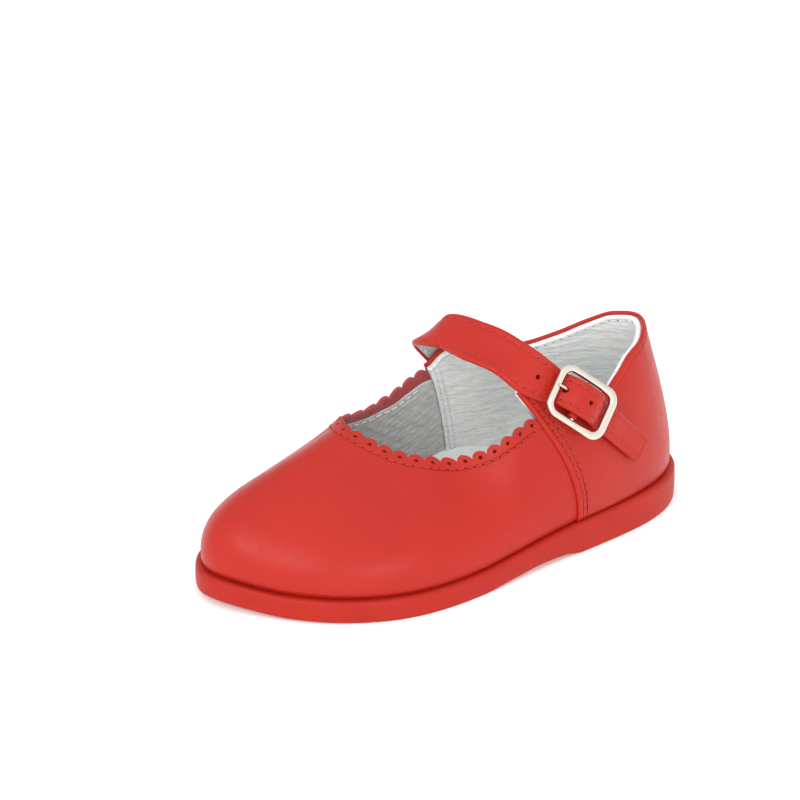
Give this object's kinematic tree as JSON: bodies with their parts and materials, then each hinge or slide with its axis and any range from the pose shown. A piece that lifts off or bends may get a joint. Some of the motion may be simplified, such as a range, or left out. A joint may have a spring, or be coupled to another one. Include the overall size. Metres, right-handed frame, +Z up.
{
  "type": "mary jane shoe",
  "caption": "Child's left leather mary jane with a moulded sole, scalloped throat and one buckled instep strap.",
  "frame": {"origin": "on the floor, under the middle of the sole's length and width", "axes": "+X from heel to toe, +Y to the outer (lateral) side where the buckle is, +Z up"},
  "size_m": [0.15, 0.0654, 0.064],
  "materials": {
    "red_sole": "matte moulded rubber",
    "silver_lining": "soft silver lining leather, satin",
    "red_leather": "smooth semi-gloss leather",
    "nickel": "polished nickel plate"
  },
  "bodies": {
    "root": {"outsole": "red_sole", "insole": "silver_lining", "upper": "red_leather", "strap": "red_leather", "buckle_frame": "nickel", "buckle_prong": "nickel", "buckle_loop": "red_leather"}
  },
  "joints": []
}
